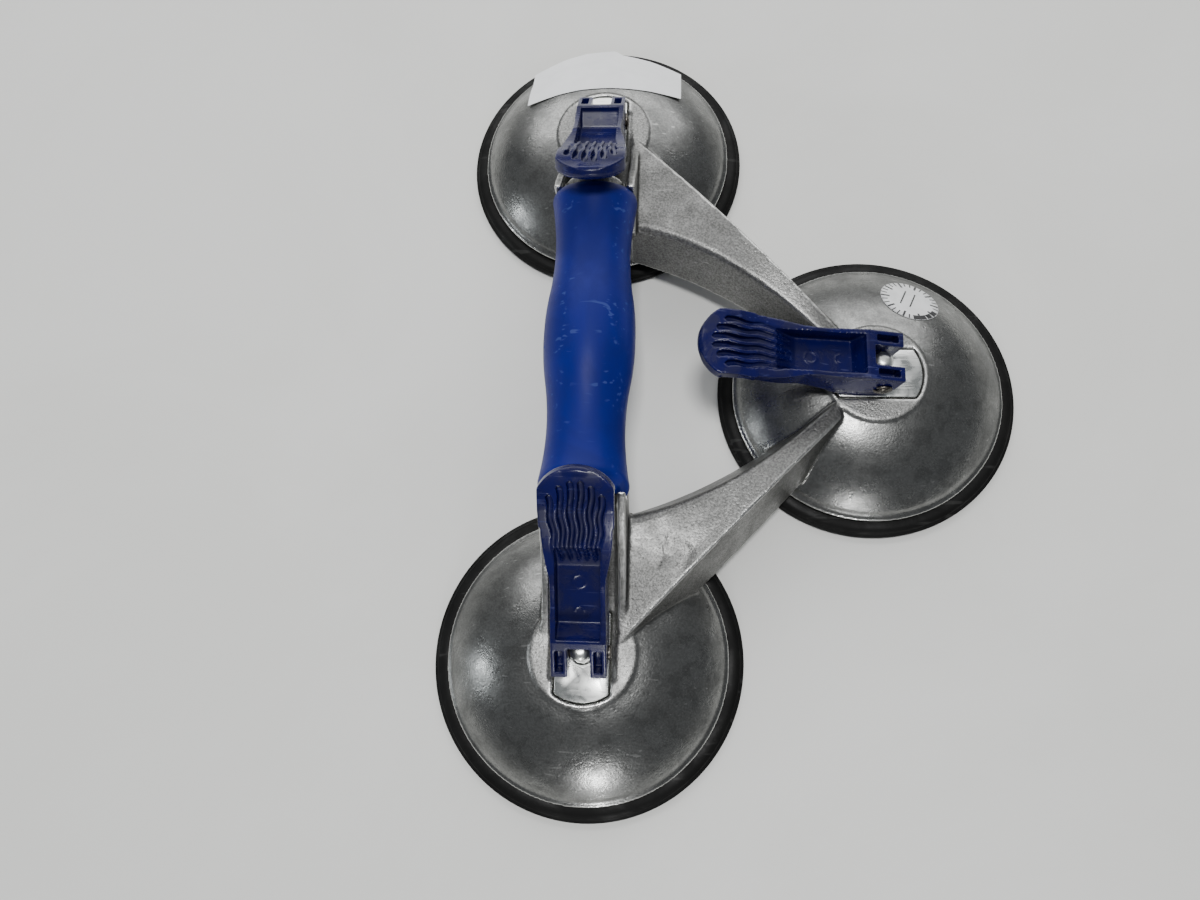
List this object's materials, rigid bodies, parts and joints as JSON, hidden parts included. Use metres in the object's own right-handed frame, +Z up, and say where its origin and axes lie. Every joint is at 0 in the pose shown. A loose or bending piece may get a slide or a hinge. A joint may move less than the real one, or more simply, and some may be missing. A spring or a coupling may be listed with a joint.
{
  "type": "floor tile suction lifter",
  "caption": "Hand-held vacuum lifter for floor tiles: cast frame with bar handle, rubber suction cups and a cam lever over each cup",
  "frame": {"origin": "on the floor, under the centre of the bounding box", "axes": "+Z up from the surface being lifted, +Y along the handle towards the rear cup, +X from the handle towards the side cup"},
  "size_m": [0.23, 0.34, 0.0815],
  "materials": {
    "cast_aluminium": "sandblasted die casting, tarnished, with polished edges",
    "blue_grip": "smooth royal blue moulding with fine scratches",
    "navy_plastic": "glossy dark blue moulding",
    "black_rubber": "matt black soft rubber",
    "zinc_steel": "bright zinc plated, rubbed by the cam",
    "dark_steel": "oiled dark steel",
    "spring_steel": "phosphated spring steel"
  },
  "bodies": {
    "frame_body": {"cast_frame": "cast_aluminium", "handle_grip": "blue_grip", "front_suction_pad": "black_rubber", "front_slide_plate": "zinc_steel", "rear_suction_pad": "black_rubber", "rear_slide_plate": "zinc_steel", "side_suction_pad": "black_rubber", "side_slide_plate": "zinc_steel"},
    "front_stud_body": {"front_pad_plate": "zinc_steel", "front_pull_stud": "zinc_steel"},
    "front_lever_body": {"front_lever": "navy_plastic", "front_pivot_pin": "dark_steel", "front_retaining_clip": "spring_steel"},
    "rear_stud_body": {"rear_pad_plate": "zinc_steel", "rear_pull_stud": "zinc_steel"},
    "rear_lever_body": {"rear_lever": "navy_plastic", "rear_pivot_pin": "dark_steel", "rear_retaining_clip": "spring_steel"},
    "side_stud_body": {"side_pad_plate": "zinc_steel", "side_pull_stud": "zinc_steel"},
    "side_lever_body": {"side_lever": "navy_plastic", "side_pivot_pin": "dark_steel", "side_retaining_clip": "spring_steel"}
  },
  "joints": [
    {"name": "front_stud_slide", "type": "slide", "parent": "frame_body", "child": "front_stud_body", "axis": [0, 0, 1], "range_m": [-0.00198, 0.00033], "deforming": ["front_suction_pad"]},
    {"name": "front_lever_hinge", "type": "hinge", "parent": "front_stud_body", "child": "front_lever_body", "pos_m": [-0.055, -0.11, 0.03388], "axis": [1, 0, 0], "range_deg": [-5, 30]},
    {"name": "rear_stud_slide", "type": "slide", "parent": "frame_body", "child": "rear_stud_body", "axis": [0, 0, 1], "range_m": [-0.00198, 0.00033], "deforming": ["rear_suction_pad"]},
    {"name": "rear_lever_hinge", "type": "hinge", "parent": "rear_stud_body", "child": "rear_lever_body", "pos_m": [-0.055, 0.11, 0.03388], "axis": [-1, 0, 0], "range_deg": [-5, 30]},
    {"name": "side_stud_slide", "type": "slide", "parent": "frame_body", "child": "side_stud_body", "axis": [0, 0, 1], "range_m": [-0.00358, 0.0006], "deforming": ["side_suction_pad"]},
    {"name": "side_lever_hinge", "type": "hinge", "parent": "side_stud_body", "child": "side_lever_body", "pos_m": [0.055, 0, 0.03548], "axis": [0, 1, 0], "range_deg": [-9, 54]}
  ],
  "couplings": [
    {"joint": "front_lever_hinge", "follows": "front_stud_slide", "rad_per_m": -263.16},
    {"joint": "rear_lever_hinge", "follows": "rear_stud_slide", "rad_per_m": -263.16},
    {"joint": "side_lever_hinge", "follows": "side_stud_slide", "rad_per_m": -263.16}
  ]
}
